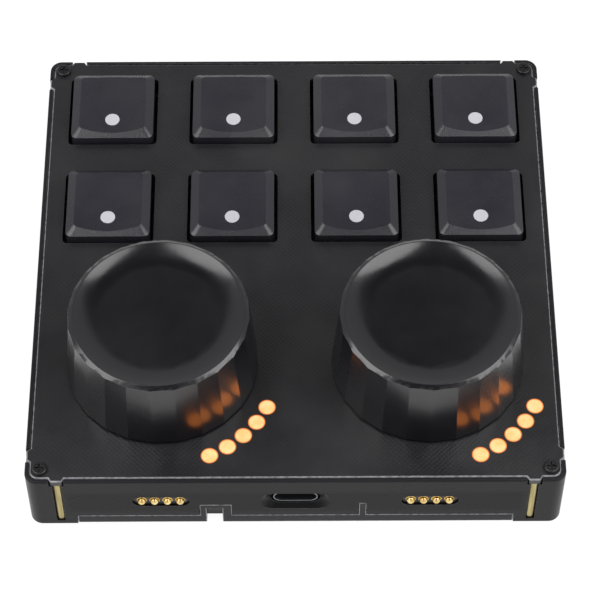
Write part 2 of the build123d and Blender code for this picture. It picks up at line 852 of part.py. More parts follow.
def socket_tongue():
    """The insulator at the back of the socket and the tongue that carries its contacts."""
    end = -case_depth / 2 + socket_recess + socket_length
    root = end - socket_back
    half_width, half_thickness = tongue_width / 2, tongue_thickness / 2
    low, high = side_port_z - half_thickness, side_port_z + half_thickness
    tongue = block(-half_width, half_width, root - tongue_length, root, low, high)
    return socket_filling(root, end) + tongue


# Spring contacts


def contact_row(x):
    """Local x of every contact of the block whose middle is at x."""
    return [x + (k - (contact_count - 1) / 2) * contact_pitch for k in range(contact_count)]


def contact_rows(length):
    """Local x of every contact along one side."""
    middle = contact_place(length)
    return contact_row(-middle) + contact_row(middle)


def contact_block(x):
    """One insulating block: a nose in its window, a shoulder behind the wall and a foot on the board."""
    nose_length, nose_height = window_length - 2 * window_gap, window_height - 2 * window_gap
    half_height = window_height / 2 + contact_shoulder
    low, high = side_port_z - half_height, side_port_z + half_height
    width = window_length + 2 * contact_shoulder
    depth = contact_back - wall
    body = slot_bar(x, side_port_z, nose_length, nose_height, contact_recess, wall)
    body += slab(x, wall + depth / 2, width, depth, low, high)
    depth += contact_foot_depth
    body += slab(x, wall + depth / 2, width, depth, board_top_z, high)
    for pin_x in contact_row(x):
        hole_radius = barrel_radius + barrel_gap
        body -= rod(pin_x, side_port_z, contact_recess - over, barrel_end + barrel_gap, hole_radius)
    return body


def contact_blocks():
    """Two blocks of contacts in every side."""
    blocks = []
    for place, length in sides.values():
        for along in (-1, 1):
            blocks.append(place * contact_block(along * contact_place(length)))
    return together(blocks)


def contact_barrels():
    """The fixed brass barrels."""
    barrels = []
    for place, length in sides.values():
        for x in contact_rows(length):
            barrel = rod(x, side_port_z, barrel_front, barrel_end, barrel_radius)
            bore_radius = plunger_radius + plunger_gap
            barrel -= rod(x, side_port_z, 0, barrel_end - barrel_back_wall, bore_radius)
            barrels.append(place * barrel)
    return together(barrels)


def contact_pins(place, length):
    """The sprung, round-ended pins of one side."""
    pins = []
    for x in contact_rows(length):
        tip = -plunger_reach
        pin = rod(x, side_port_z, tip + plunger_radius, tip + plunger_length, plunger_radius)
        pin += Pos(x, tip + plunger_radius, side_port_z) * Sphere(plunger_radius)
        pins.append(place * pin)
    return together(pins)


def build():
    """Writes every sub-part."""
    os.makedirs("parts", exist_ok=True)
    save(top_plate(), "top_plate")
    save(housing(), "housing")
    save(base_cover(), "base_cover")
    save(rubber_feet(), "rubber_feet")
    save(corner_magnets(), "corner_magnets")
    save(together([plate_screw(*place) for place in corner_places(screw_inset)]), "plate_screws")
    save(main_board(), "main_board")
    save(board_chips(), "board_chips")
    save(board_lamps(), "board_lamps")
    save(together([light_guide(*place) for place in knob_places.values()]), "light_guides")
    save(together([switch_base(*place) for place in key_places]), "switch_bases")
    save(together([switch_top(*place) for place in key_places]), "switch_tops")
    for number, place in enumerate(key_places, 1):
        save(keycap(*place), f"keycap_{number}")
        save(key_window(*place), f"key_window_{number}")
        save(key_stem(*place), f"key_stem_{number}")
        save(key_spring(*place), f"key_spring_{number}")
    save(together([encoder_body(*place) for place in knob_places.values()]), "encoder_bodies")
    save(bushing_nuts(), "bushing_nuts")
    for name, place in knob_places.items():
        save(knob(*place, knob_phases[name]), f"knob_{name}")
        save(encoder_shaft(*place, knob_phases[name]), f"encoder_shaft_{name}")
        save(encoder_rotor(*place, knob_phases[name]), f"encoder_rotor_{name}")
    save(socket_shell(), "socket_shell")
    save(socket_tongue(), "socket_tongue")
    save(contact_blocks(), "contact_blocks")
    save(contact_barrels(), "contact_barrels")
    for name, (place, length) in sides.items():
        save(contact_pins(place, length), f"contact_pins_{name}")


build()
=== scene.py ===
import json
import logging
from dataclasses import dataclass, field
from enum import Enum
from math import pi, radians, tau

import bmesh
import bpy
from mathutils import Matrix, Vector

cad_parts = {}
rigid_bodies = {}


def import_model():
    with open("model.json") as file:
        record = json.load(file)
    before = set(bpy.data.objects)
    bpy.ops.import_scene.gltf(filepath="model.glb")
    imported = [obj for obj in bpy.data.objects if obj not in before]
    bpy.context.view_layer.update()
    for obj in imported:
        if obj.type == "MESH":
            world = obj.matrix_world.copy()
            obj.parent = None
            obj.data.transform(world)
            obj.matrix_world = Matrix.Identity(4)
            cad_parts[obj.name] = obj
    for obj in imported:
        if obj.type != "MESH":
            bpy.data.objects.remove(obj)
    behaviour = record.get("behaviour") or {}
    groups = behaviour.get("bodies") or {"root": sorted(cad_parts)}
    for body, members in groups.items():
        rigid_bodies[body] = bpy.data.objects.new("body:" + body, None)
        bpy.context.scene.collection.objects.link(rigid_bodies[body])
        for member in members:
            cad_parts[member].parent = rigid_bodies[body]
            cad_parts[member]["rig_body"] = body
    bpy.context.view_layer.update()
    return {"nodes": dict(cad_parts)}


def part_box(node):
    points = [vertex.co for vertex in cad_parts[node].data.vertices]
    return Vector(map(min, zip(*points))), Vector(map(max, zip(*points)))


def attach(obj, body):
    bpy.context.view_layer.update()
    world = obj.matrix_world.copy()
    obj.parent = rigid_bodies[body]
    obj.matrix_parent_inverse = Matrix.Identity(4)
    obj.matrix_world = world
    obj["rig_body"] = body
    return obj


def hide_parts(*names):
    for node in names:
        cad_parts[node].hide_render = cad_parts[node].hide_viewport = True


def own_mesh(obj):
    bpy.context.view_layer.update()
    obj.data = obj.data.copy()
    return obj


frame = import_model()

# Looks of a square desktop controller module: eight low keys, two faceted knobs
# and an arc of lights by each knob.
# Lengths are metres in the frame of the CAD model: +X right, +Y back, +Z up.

LOG = logging.getLogger("controller")
MM = 0.001
EDGE_MARK = "edge_strip"
GLOW_MARK = "glow"
SIDE_NAMES = ("front", "right", "back", "left")
KNOB_NAMES = ("left", "right")
KEY_NUMBERS = range(1, 9)

Colour = tuple[float, float, float, float]
Point = tuple[float, float, float]

# How the CAD meshes are cleaned, rounded and shaded
MERGE_REACH = 0.002 * MM
FLAT_ANGLE = radians(0.6)
SMOOTH_ANGLE = radians(42)
SLOPE_NORMALS = (0.2, 0.95)
FAINT_STRIP = 0.25

# Ranges of a noise or a normal that the shared effects spread out
FULL = (0.0, 1.0)
MOTTLE_RANGE = (0.3, 0.7)
WEAR_RANGE = (0.35, 0.6)
WEAR_LEAST = 0.35
SPECK_RANGE = (0.04, 0.09)
SMEAR_RANGE = (0.5, 0.75)
STAIN_RANGE = (0.35, 0.65)
FLANK_NORMALS = (0.3, 0.6)
CLOUD_RANGE = (0.4, 0.62)

# Shares by which the effects act
COARSE_SHARE = 0.02
SMEAR_SHARE = 0.04
SPECK_STRENGTH = 0.8
SMEAR_STRENGTH = 0.35
DUST_COVER = 0.5
DUST_ROUGHNESS = 0.3
INSIDE_SHADE = 0.35
MOTTLE_ROUGHNESS = 0.06
LEAST_ROUGHNESS = 0.02
METAL_RUB = 0.4
METAL_ROUGHNESS_SHARES = (0.7, 1.4)


class Slot(Enum):
    """The record's material slots."""

    FACE = "face_black"
    SMOKE = "smoke_plastic"
    RUBBER = "rubber_black"
    ROD = "magnet_gold"
    SCREW = "screw_black"
    BOARD = "board_black"
    CHIP = "chip_black"
    LAMP = "lamp_white"
    LIGHT = "light_orange"
    SWITCH = "switch_black"
    STEM = "stem_grey"
    CAP = "cap_black"
    WINDOW = "window_white"
    SPRING = "spring_steel"
    ENCODER = "encoder_metal"
    ROTOR = "rotor_plastic"
    KNOB = "knob_black"
    SOCKET = "socket_steel"
    TONGUE = "tongue_black"
    GOLD = "contact_gold"
    BLOCK = "block_grey"


class Wiring:
    """Adds shader nodes to one tree and joins them."""

    def __init__(self, tree: bpy.types.NodeTree) -> None:
        """Takes the tree and empties it.

        Args:
            tree: The node tree of a material, world or group.
        """
        self.tree = tree
        self.tree.nodes.clear()

    def add(
        self, kind: str, values: dict[str, object] | None = None, **settings: object
    ) -> bpy.types.Node:
        """Adds one node.

        Args:
            kind: The node's type name without the ShaderNode prefix.
            values: Input sockets' names and their default values or the sockets that feed them.
            **settings: The node's own properties.

        Returns:
            The new node.
        """
        prefix = "" if kind.startswith("NodeGroup") else "ShaderNode"
        node = self.tree.nodes.new(prefix + kind)
        for name, value in settings.items():
            setattr(node, name, value)
        for name, value in (values or {}).items():
            self.feed(node, name, value)
        return node

    def feed(self, node: bpy.types.Node, name: str | int, value: object) -> None:
        """Sets one input of a node or links a socket to it.

        Args:
            node: The node that is fed.
            name: The input's name or number.
            value: A plain value, or an output socket to link.
        """
        if isinstance(value, bpy.types.NodeSocket):
            self.tree.links.new(value, node.inputs[name])
        else:
            node.inputs[name].default_value = value

    def maths(
        self, operation: str, first: object, second: object = 0.0, clamp: bool = False
    ) -> bpy.types.NodeSocket:
        """A Math node's result.

        Args:
            operation: The node's operation.
            first: A value or socket.
            second: A value or socket.
            clamp: Whether the result is kept between 0 and 1.

        Returns:
            The output socket.
        """
        node = self.add("Math", operation=operation, use_clamp=clamp)
        self.feed(node, 0, first)
        self.feed(node, 1, second)
        return node.outputs[0]

    def spread(
        self, value: object, low: float, high: float, to_low: float, to_high: float
    ) -> bpy.types.NodeSocket:
        """A value moved from one range to another, clamped.

        Args:
            value: The socket to map.
            low: The range's lower end.
            high: The range's upper end.
            to_low: Result at the lower end.
            to_high: Result at the upper end.

        Returns:
            The output socket.
        """
        levels = {"Value": value, "From Min": low, "From Max": high, "To Min": to_low, "To Max": to_high}
        return self.add("MapRange", levels, clamp=True).outputs["Result"]

    def blend(self, mask: object, first: object, second: object) -> bpy.types.NodeSocket:
        """Two colours mixed by a mask.

        Args:
            mask: 0 gives the first colour and 1 the second.
            first: A colour or socket.
            second: A colour or socket.

        Returns:
            The colour's socket.
        """
        node = self.add("Mix", data_type="RGBA")
        node.inputs[0].default_value = 0.0
        self.feed(node, 0, mask)
        self.feed(node, 6, first)
        self.feed(node, 7, second)
        return node.outputs[2]

    def place(self) -> bpy.types.NodeSocket:
        """The Object coordinates."""
        return self.add("TexCoord").outputs["Object"]

    def finish(self, kind: str, shader: bpy.types.NodeSocket) -> None:
        """Joins the last shader to a new output node.

        Args:
            kind: OutputMaterial or OutputWorld.
            shader: The shader's socket.
        """
        self.feed(self.add(kind), "Surface", shader)


def colour(red: float, green: float, blue: float) -> Colour:
    """A linear colour from display values of 0 to 255."""
    levels = [value / 255 for value in (red, green, blue)]
    linear = [v / 12.92 if v <= 0.04045 else ((v + 0.055) / 1.055) ** 2.4 for v in levels]
    return (*linear, 1.0)


DUST_COLOUR = colour(150, 148, 145)


def blank_material(name: str) -> tuple[bpy.types.Material, Wiring]:
    """A material with an empty node tree, and the tree's wiring."""
    material = bpy.data.materials.new(name)
    material.use_nodes = True
    return material, Wiring(material.node_tree)


class Effects:
    """Node groups that several materials share."""

    def __init__(self) -> None:
        """Builds each group once."""
        self.grain = self._grain()
        self.wear_and_edge_light = self._edge_wear_and_highlight()
        self.dust = self._dust()
        self.weave = self._weave()
        # The mask of painted shade over the middle of smoky walls.
        self.depth = self._inner_shade_mask()

    @staticmethod
    def _start(
        name: str, inputs: dict[str, float], outputs: tuple[str, ...]
    ) -> tuple[Wiring, bpy.types.Node, bpy.types.Node]:
        """Makes an empty group with float sockets.

        Args:
            name: The group's name.
            inputs: The inputs' names and default values.
            outputs: The outputs' names.

        Returns:
            The wiring, the group's input node and its output node.
        """
        group = bpy.data.node_groups.new(name, "ShaderNodeTree")
        for label, value in inputs.items():
            socket = group.interface.new_socket(
                name=label, in_out="INPUT", socket_type="NodeSocketFloat"
            )
            socket.default_value = value
        for label in outputs:
            group.interface.new_socket(name=label, in_out="OUTPUT", socket_type="NodeSocketFloat")
        wiring = Wiring(group)
        return wiring, wiring.add("NodeGroupInput"), wiring.add("NodeGroupOutput")

    def _grain(self) -> bpy.types.NodeTree:
        """The fine stipple of moulded plastic, with broad faint mottling.

        Returns:
            The group: Height drives bump, Mottle shifts colour and roughness.
        """
        wiring, entry, result = self._start("moulded_grain", {"Scale": 4000.0}, ("Height", "Mottle"))
        place = wiring.place()
        scale = entry.outputs["Scale"]
        cells = wiring.add("TexVoronoi", {"Vector": place, "Scale": scale}, feature="SMOOTH_F1")
        fine = wiring.add("TexNoise", {"Vector": place, "Scale": scale, "Detail": 3.0})
        coarse_scale = wiring.maths("MULTIPLY", scale, COARSE_SHARE)
        coarse = wiring.add(
            "TexNoise", {"Vector": place, "Scale": coarse_scale, "Detail": 4.0, "Roughness": 0.6}
        )
        height = wiring.maths("ADD", cells.outputs["Distance"], fine.outputs["Fac"])
        wiring.feed(result, "Height", height)
        wiring.feed(result, "Mottle", wiring.spread(coarse.outputs["Fac"], *MOTTLE_RANGE, *FULL))
        return wiring.tree

    def _edge_wear_and_highlight(self) -> bpy.types.NodeTree:
        """Edge wear and painted edge highlight: the strips along a piece's rounded edges, broken up by
        noise.

        Returns:
            The group: Mask is 1 where an edge is fully worn or carries the full painted highlight.
        """
        inputs = {"Amount": 0.5, "Break Scale": 900.0}
        wiring, entry, result = self._start("edge_wear_and_painted_highlight", inputs, ("Mask",))
        place = wiring.place()
        strip = wiring.add("Attribute", attribute_name=EDGE_MARK).outputs["Fac"]
        noise = wiring.add(
            "TexNoise", {"Vector": place, "Scale": entry.outputs["Break Scale"], "Detail": 5.0}
        )
        broken = wiring.spread(noise.outputs["Fac"], *WEAR_RANGE, WEAR_LEAST, 1.0)
        mask = wiring.maths("MULTIPLY", strip, broken)
        wiring.feed(result, "Mask", wiring.maths("MULTIPLY", mask, entry.outputs["Amount"], clamp=True))
        return wiring.tree

    def _dust(self) -> bpy.types.NodeTree:
        """Sparse specks and faint smears of dust.

        Returns:
            The group: Mask is 1 where dust lies.
        """
        wiring, entry, result = self._start("dust_specks", {"Scale": 700.0, "Amount": 0.3}, ("Mask",))
        place = wiring.place()
        scale = entry.outputs["Scale"]
        cells = wiring.add("TexVoronoi", {"Vector": place, "Scale": scale, "Randomness": 1.0})
        speck = wiring.spread(cells.outputs["Distance"], *SPECK_RANGE, 1.0, 0.0)
        smear_scale = wiring.maths("MULTIPLY", scale, SMEAR_SHARE)
        smear = wiring.add(
            "TexNoise", {"Vector": place, "Scale": smear_scale, "Detail": 6.0, "Roughness": 0.65}
        )
        smears = wiring.spread(smear.outputs["Fac"], *SMEAR_RANGE, *FULL)
        both = wiring.maths(
            "MAXIMUM",
            wiring.maths("MULTIPLY", speck, SPECK_STRENGTH),
            wiring.maths("MULTIPLY", smears, SMEAR_STRENGTH),
        )
        wiring.feed(result, "Mask", wiring.maths("MULTIPLY", both, entry.outputs["Amount"], clamp=True))
        return wiring.tree

    def _weave(self) -> bpy.types.NodeTree:
        """The fine woven figure of the face plate: small raised cells in a chequer.

        Returns:
            The group: Mask is 1 on the crown of a cell and 0 between the cells.
        """
        wiring, entry, result = self._start("fine_weave", {"Pitch": 1.04 * MM}, ("Mask",))
        place = wiring.place()
        along = wiring.add("SeparateXYZ", {"Vector": place})
        waves = []
        for axis in ("X", "Y"):
            turns = wiring.maths("DIVIDE", along.outputs[axis], entry.outputs["Pitch"])
            waves.append(wiring.maths("SINE", wiring.maths("MULTIPLY", turns, tau)))
        product = wiring.maths("MULTIPLY", waves[0], waves[1])
        wiring.feed(result, "Mask", wiring.spread(product, -1.0, 1.0, *FULL))
        return wiring.tree

    def _inner_shade_mask(self) -> bpy.types.NodeTree:
        """Painted shade over the middle of a smoky wall, standing in for the shaded inside seen through
        it.

        Returns:
            The group: Mask is 1 over the middle of a wall, where the painted shade is full, and 0 at its
                edges and solid corners.
        """
        wiring, entry, result = self._start(
            "painted_inner_shade",
            {"Low": 4.5 * MM, "High": 13.2 * MM, "Reach": 46.0 * MM, "Soft": 1.6 * MM},
            ("Mask",),
        )
        place = wiring.add("SeparateXYZ", {"Vector": wiring.place()})
        soft = entry.outputs["Soft"]
        above = wiring.maths("SUBTRACT", place.outputs["Z"], entry.outputs["Low"])
        below = wiring.maths("SUBTRACT", entry.outputs["High"], place.outputs["Z"])
        sides = [wiring.maths("ABSOLUTE", place.outputs[axis], 0.0) for axis in ("X", "Y")]
        nearer = wiring.maths("MINIMUM", sides[0], sides[1])
        inside = wiring.maths("SUBTRACT", entry.outputs["Reach"], nearer)
        nearest = wiring.maths("MINIMUM", wiring.maths("MINIMUM", above, below), inside)
        share = wiring.maths("DIVIDE", nearest, soft, clamp=True)
        wiring.feed(result, "Mask", share)
        return wiring.tree


@dataclass(frozen=True)
class Moulded:
    """A moulded plastic, rubber or painted finish."""

    body: Colour
    mottled: Colour
    # Colour of worn edges and of the painted highlight on edge strips; the weave's cells lean towards it
    # too.
    rubbed_or_lit: Colour
    roughness: float = 0.5
    gloss: float = 0.5
    grain_scale: float = 4000.0
    grain_depth: float = 0.04 * MM
    # Share of that colour on edge strips: partly wear, partly painted highlight.
    wear_and_edge_light: float = 0.5
    dust: float = 0.2
    coat: float = 0.0
    weave: float = 0.0
    # Painted shade: how far a smoky wall is darkened over its middle.
    inner_shade_strength: float = 0.0
    flank_roughness: float = 0.0

    def make(self, name: str, effects: Effects) -> bpy.types.Material:
        """Builds the material.

        Args:
            name: The material's name.
            effects: The shared node groups.

        Returns:
            The material.
        """
        material, wiring = blank_material(name)
        grain = wiring.add("Group", {"Scale": self.grain_scale}, node_tree=effects.grain)
        wear_and_edge_light = wiring.add("Group", {"Amount": self.wear_and_edge_light}, node_tree=effects.wear_and_edge_light)
        dust = wiring.add("Group", {"Amount": self.dust}, node_tree=effects.dust)
        base = wiring.blend(grain.outputs["Mottle"], self.body, self.mottled)
        height = grain.outputs["Height"]
        # Painted shade: the middle of the wall is darkened towards a third of its colour, as if the
        # shaded inside showed through.
        if self.inner_shade_strength:
            depth = wiring.add("Group", node_tree=effects.depth)
            inner_shade_colour = tuple(share * INSIDE_SHADE for share in self.body[:3]) + (1.0,)
            inner_shade_share = wiring.maths("MULTIPLY", depth.outputs["Mask"], self.inner_shade_strength)
            base = wiring.blend(inner_shade_share, base, inner_shade_colour)
        if self.weave:
            threads = wiring.add("Group", node_tree=effects.weave)
            crowns = wiring.maths("MULTIPLY", threads.outputs["Mask"], self.weave)
            base = wiring.blend(crowns, base, self.rubbed_or_lit)
            height = wiring.maths("ADD", height, threads.outputs["Mask"])
        # Edge strips take the lighter colour: partly wear, partly painted highlight.
        base = wiring.blend(wear_and_edge_light.outputs["Mask"], base, self.rubbed_or_lit)
        dusty = wiring.maths("MULTIPLY", dust.outputs["Mask"], DUST_COVER)
        base = wiring.blend(dusty, base, DUST_COLOUR)
        low = max(self.roughness - MOTTLE_ROUGHNESS, LEAST_ROUGHNESS)
        high = min(self.roughness + MOTTLE_ROUGHNESS, 1.0)
        rough = wiring.spread(grain.outputs["Mottle"], *FULL, low, high)
        if self.flank_roughness:
            facing = wiring.add("SeparateXYZ", {"Vector": wiring.add("NewGeometry").outputs["Normal"]})
            step = self.flank_roughness - self.roughness
            extra = wiring.spread(facing.outputs["Z"], *FLANK_NORMALS, step, 0.0)
            rough = wiring.maths("ADD", rough, extra)
        dulled = wiring.maths("MULTIPLY", dust.outputs["Mask"], DUST_ROUGHNESS)
        rough = wiring.maths("ADD", rough, dulled, clamp=True)
        bump = wiring.add("Bump", {"Strength": 0.35, "Distance": self.grain_depth, "Height": height})
        shader = wiring.add(
            "BsdfPrincipled",
            {
                "Base Color": base,
                "Roughness": rough,
                "Specular IOR Level": self.gloss,
                "Coat Weight": self.coat,
                "Coat Roughness": 0.12,
                "Normal": bump.outputs["Normal"],
            },
        )
        wiring.finish("OutputMaterial", shader.outputs["BSDF"])
        return material


@dataclass(frozen=True)
class Metal:
    """A plated or turned metal finish with fine drawing marks and stains."""

    bright: Colour
    stained: Colour
    roughness: float = 0.25
    mark_scale: Point = (2500.0, 2500.0, 120.0)
    mark_depth: float = 0.01 * MM

    def make(self, name: str, effects: Effects) -> bpy.types.Material:
        """Builds the material.

        Args:
            name: The material's name.
            effects: The shared node groups.

        Returns:
            The material.
        """
        material, wiring = blank_material(name)
        place = wiring.place()
        stretched = wiring.add("Mapping", {"Vector": place, "Scale": self.mark_scale}).outputs["Vector"]
        marks = wiring.add("TexNoise", {"Vector": stretched, "Scale": 1.0, "Detail": 4.0})
        dust = wiring.add("Group", node_tree=effects.dust)
        wear_and_edge_light = wiring.add("Group", node_tree=effects.wear_and_edge_light)
        stains = wiring.spread(marks.outputs["Fac"], *STAIN_RANGE, *FULL)
        base = wiring.blend(stains, self.bright, self.stained)
        rubbed_or_lit = wiring.maths("MULTIPLY", wear_and_edge_light.outputs["Mask"], METAL_RUB)
        base = wiring.blend(rubbed_or_lit, base, self.bright)
        low, high = (self.roughness * share for share in METAL_ROUGHNESS_SHARES)
        rough = wiring.spread(marks.outputs["Fac"], *MOTTLE_RANGE, low, high)
        dulled = wiring.maths("MULTIPLY", dust.outputs["Mask"], DUST_ROUGHNESS)
        rough = wiring.maths("ADD", rough, dulled, clamp=True)
        bump = wiring.add(
            "Bump", {"Strength": 0.3, "Distance": self.mark_depth, "Height": marks.outputs["Fac"]}
        )
        shader = wiring.add(
            "BsdfPrincipled",
            {"Base Color": base, "Metallic": 1.0, "Roughness": rough, "Normal": bump.outputs["Normal"]},
        )
        wiring.finish("OutputMaterial", shader.outputs["BSDF"])
        return material


@dataclass(frozen=True)
class Lit:
    """A clear plastic with a lamp behind it: bright in the middle and deeper in colour at its rim."""

    centre: Colour
    patch: Colour
    rim: Colour
    cast: Colour
    strength: float = 0.95
    throw: float = 2.2

    def make(self, name: str, effects: Effects) -> bpy.types.Material:
        """Builds the material.

        Args:
            name: The material's name.
            effects: The shared node groups.

        Returns:
            The material.
        """
        material, wiring = blank_material(name)
        place = wiring.place()
        cloud = wiring.add("TexNoise", {"Vector": place, "Scale": 420.0, "Detail": 2.0})
        glow = wiring.add("Attribute", attribute_name=GLOW_MARK).outputs["Fac"]
        grain = wiring.add("Group", node_tree=effects.grain)
        clouds = wiring.spread(cloud.outputs["Fac"], *CLOUD_RANGE, *FULL)
        middle = wiring.blend(clouds, self.centre, self.patch)
        tone = wiring.blend(glow, self.rim, middle)
        seen = wiring.add("LightPath").outputs["Is Camera Ray"]
        shine = wiring.blend(seen, self.cast, tone)
        strength = wiring.spread(seen, *FULL, self.throw, self.strength)
        bump = wiring.add(
            "Bump", {"Strength": 0.2, "Distance": 0.02 * MM, "Height": grain.outputs["Height"]}
        )
        shader = wiring.add(
            "BsdfPrincipled",
            {
                "Base Color": self.rim,
                "Roughness": 0.3,
                "Emission Color": shine,
                "Emission Strength": strength,
                "Normal": bump.outputs["Normal"],
            },
        )
        wiring.finish("OutputMaterial", shader.outputs["BSDF"])
        return material


FINISHES: dict[Slot, Moulded | Metal | Lit] = {
    Slot.FACE: Moulded(
        colour(22, 22, 25),
        colour(27, 27, 30),
        # Light edge colour: a painted highlight along the plate's chamfered outline and the edges of its
        # openings.
        colour(172, 171, 176),
        0.34,
        0.6,
        3200.0,
        wear_and_edge_light=0.85,
        weave=0.014,
    ),
    Slot.SMOKE: Moulded(
        colour(36, 36, 38),
        colour(40, 40, 42),
        # Light edge colour: a painted highlight along the housing's rounded edges and its seam.
        colour(120, 121, 123),
        0.28,
        0.1,
        1500.0,
        wear_and_edge_light=0.8,
        dust=0.04,
        # Painted shade over the middle of the housing's walls.
        inner_shade_strength=0.75,
    ),
    Slot.RUBBER: Moulded(
        colour(38, 38, 40), colour(46, 46, 48), colour(70, 70, 72), 0.85, 0.25, 2600.0, wear_and_edge_light=0.4
    ),
    Slot.ROD: Metal(colour(192, 178, 128), colour(158, 144, 96), 0.24),
    Slot.SCREW: Moulded(
        colour(14, 14, 16), colour(20, 20, 22), colour(84, 84, 90), 0.34, 0.5, 3000.0, wear_and_edge_light=0.4
    ),
    Slot.BOARD: Moulded(
        colour(18, 24, 22), colour(26, 34, 30), colour(60, 66, 60), 0.42, 0.5, 1200.0, wear_and_edge_light=0.2
    ),
    Slot.CHIP: Moulded(
        colour(26, 26, 28), colour(34, 34, 36), colour(70, 70, 72), 0.55, 0.4, 3000.0, wear_and_edge_light=0.2
    ),
    Slot.LAMP: Moulded(
        colour(222, 218, 196), colour(234, 230, 212), colour(240, 238, 230), 0.4, 0.5, 2000.0
    ),
    Slot.LIGHT: Lit(
        colour(254, 202, 134), colour(255, 222, 162), colour(180, 98, 44), colour(255, 146, 58)
    ),
    Slot.SWITCH: Moulded(
        colour(24, 24, 26), colour(32, 32, 34), colour(66, 66, 70), 0.5, 0.45, 3000.0
    ),
    Slot.STEM: Moulded(
        colour(96, 96, 100), colour(108, 108, 112), colour(140, 140, 144), 0.45, 0.45, 3000.0
    ),
    Slot.CAP: Moulded(
        colour(37, 36, 43), colour(43, 42, 49), colour(90, 89, 96), 0.28, 0.6, 3600.0, wear_and_edge_light=0.4
    ),
    Slot.WINDOW: Moulded(
        colour(198, 197, 203), colour(204, 203, 208), colour(222, 222, 226), 0.3, 0.5, 3000.0
    ),
    Slot.SPRING: Metal(colour(198, 198, 202), colour(150, 150, 156), 0.28),
    Slot.ENCODER: Metal(colour(178, 178, 182), colour(136, 136, 142), 0.32),
    Slot.ROTOR: Moulded(
        colour(180, 176, 160), colour(192, 188, 172), colour(206, 204, 192), 0.5, 0.4, 3000.0
    ),
    Slot.KNOB: Moulded(
        colour(14, 13, 18),
        colour(18, 17, 22),
        colour(58, 58, 64),
        roughness=0.2,
        gloss=0.7,
        grain_scale=2200.0,
        grain_depth=0.004 * MM,
        wear_and_edge_light=0.3,
        dust=0.04,
        coat=0.1,
        flank_roughness=0.24,
    ),
    Slot.SOCKET: Metal(colour(150, 152, 156), colour(112, 114, 118), 0.34, (200.0, 3000.0, 3000.0)),
    Slot.TONGUE: Moulded(
        colour(22, 23, 25), colour(30, 31, 33), colour(66, 66, 70), 0.5, 0.45, 3000.0
    ),
    Slot.GOLD: Metal(colour(252, 228, 162), colour(216, 178, 106), 0.2, (1500.0, 1500.0, 1500.0)),
    Slot.BLOCK: Moulded(
        colour(52, 53, 55), colour(58, 59, 61), colour(110, 110, 112), 0.42, 0.4, 3000.0
    ),
}

# The base cover: its light edge colour is a painted highlight along the seam with the housing.
COVER_FINISH = Moulded(
    colour(40, 40, 43),
    colour(44, 44, 47),
    colour(170, 170, 173),
    0.28,
    0.12,
    1500.0,
    wear_and_edge_light=1.0,
    dust=0.04,
)


class Workshop:
    """Holds the finishes and turns bmeshes into placed, dressed pieces."""

    def __init__(self) -> None:
        """Builds every finish once."""
        effects = Effects()
        self.materials = {slot: finish.make(slot.value, effects) for slot, finish in FINISHES.items()}
        self.cover = COVER_FINISH.make("smoke_cover", effects)

    def piece(
        self, name: str, shape: bmesh.types.BMesh, body: str, slot: Slot, nodes: tuple[str, ...] = ()
    ) -> bpy.types.Object:
        """Makes an object of a bmesh and rides it on a body.

        Args:
            name: The piece's name.
            shape: Its mesh, in place. It is freed here.
            body: The CAD body that it moves with.
            slot: The finish that it takes.
            nodes: The CAD nodes that it stands for.

        Returns:
            The new object.
        """
        mesh = bpy.data.meshes.new(name)
        shape.to_mesh(mesh)
        shape.free()
        for polygon in mesh.polygons:
            polygon.use_smooth = True
        mesh.set_sharp_from_angle(angle=SMOOTH_ANGLE)
        thing = bpy.data.objects.new(name, mesh)
        bpy.context.scene.collection.objects.link(thing)
        mesh.materials.append(self.materials[slot])
        steady = thing.modifiers.new("even_shading", "WEIGHTED_NORMAL")
        steady.keep_sharp = True
        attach(thing, body)
        if nodes:
            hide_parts(*nodes)
        LOG.info("%s: %d faces on %s", name, len(mesh.polygons), body)
        return thing

    def dress(self, node: str, slot: Slot) -> None:
        """Gives a CAD node its finish.

        Args:
            node: The node's name.
            slot: The finish.
        """
        shown = frame["nodes"][node]
        if shown.material_slots:
            for place in shown.material_slots:
                place.material = self.materials[slot]
        else:
            shown.data.materials.append(self.materials[slot])
        LOG.info("%s dressed in %s", node, slot.value)

    def soften(
        self,
        node: str,
        slot: Slot,
        width: float,
        segments: int = 2,
        steepest: float = 28.0,
        slopes: bool = False,
    ) -> bpy.types.Object:
        """Replaces a CAD node with a copy whose sharp edges are rounded.

        Args:
            node: The node's name.
            slot: The finish.
            width: How far the rounding reaches from an edge.
            segments: Faces across the rounding.
            steepest: The angle in degrees past which an edge counts as sharp.
            slopes: Whether the CAD model's own bevels carry the full edge mark and the new
                strips a faint one.

        Returns:
            The new object.
        """
        shape = merged_copy(node)
        round_edges(shape, width, segments, radians(steepest), slopes)
        return self.piece(f"{node}_finished", shape, frame["nodes"][node]["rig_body"], slot, (node,))


def merged_copy(node: str) -> bmesh.types.BMesh:
    """A CAD node's mesh with its doubles merged and its flat faces whole.

    Args:
        node: The node's name.

    Returns:
        The new bmesh.
    """
    shape = bmesh.new()
    shape.from_mesh(frame["nodes"][node].data)
    bmesh.ops.remove_doubles(shape, verts=shape.verts, dist=MERGE_REACH)
    bmesh.ops.dissolve_limit(shape, angle_limit=FLAT_ANGLE, verts=shape.verts, edges=shape.edges)
    return shape


